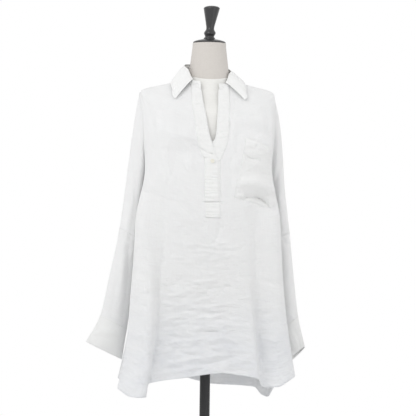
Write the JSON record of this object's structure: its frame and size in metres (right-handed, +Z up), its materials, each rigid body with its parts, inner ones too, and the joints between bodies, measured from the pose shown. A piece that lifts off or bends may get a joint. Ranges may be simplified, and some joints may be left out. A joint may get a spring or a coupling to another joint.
{
  "type": "blouse on a dress form",
  "caption": "Wide white pullover blouse with a spread collar, open V neck, banded half placket, patch pocket and long flared sleeves, on a limbless dress form with a pole stand.",
  "frame": {"origin": "centre of the stand base's underside, on the floor", "axes": "+Z up along the pole; -Y out of the blouse's front; +X towards the wearer's left sleeve"},
  "size_m": [0.5768, 0.38, 1.5895],
  "materials": {
    "blouse_cloth": "matte, slightly sheer plain weave with a soft crinkle",
    "blouse_double_cloth": "the same cloth, two layers thick, whiter and smoother",
    "shell_button": "pale shell-like, soft gloss",
    "form_linen": "fine cream linen stretched smooth over a firm form",
    "black_wood": "turned, black lacquer",
    "black_steel": "black satin paint"
  },
  "bodies": {
    "root": {"front": "blouse_cloth", "back": "blouse_cloth", "sleeve_right": "blouse_cloth", "sleeve_left": "blouse_cloth", "cuff_right": "blouse_double_cloth", "cuff_left": "blouse_double_cloth", "collar_stand": "blouse_double_cloth", "collar_leaf": "blouse_double_cloth", "band_over": "blouse_double_cloth", "band_under": "blouse_double_cloth", "pocket": "blouse_double_cloth", "button": "shell_button", "form_torso": "form_linen", "neck_finial": "black_wood", "stand_pole": "black_steel", "stand_base": "black_steel"}
  },
  "joints": []
}
